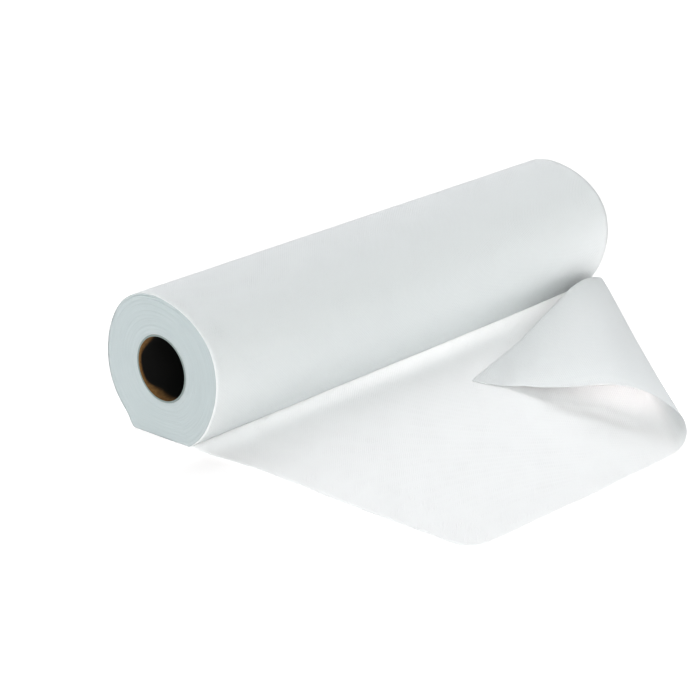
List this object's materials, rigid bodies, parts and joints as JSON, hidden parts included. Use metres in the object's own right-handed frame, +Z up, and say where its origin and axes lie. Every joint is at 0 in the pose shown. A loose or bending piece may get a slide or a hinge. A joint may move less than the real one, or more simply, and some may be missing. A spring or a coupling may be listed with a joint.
{
  "type": "exam table paper roll",
  "caption": "Roll of soft embossed couch paper on a cardboard core, lying with its loose end drawn out and the far corner folded over.",
  "frame": {"origin": "on the table under the middle of the core's axis", "axes": "+X along the roll, the loose end is drawn out towards -Y, +Z up"},
  "size_m": [0.503, 0.3887, 0.1199],
  "materials": {
    "core_card": "matt brown wound cardboard",
    "embossed_paper": "soft matt white two-ply paper with a fine embossed dot pattern"
  },
  "bodies": {
    "root": {"core_tube": "core_card", "paper_web": "embossed_paper"}
  },
  "joints": []
}
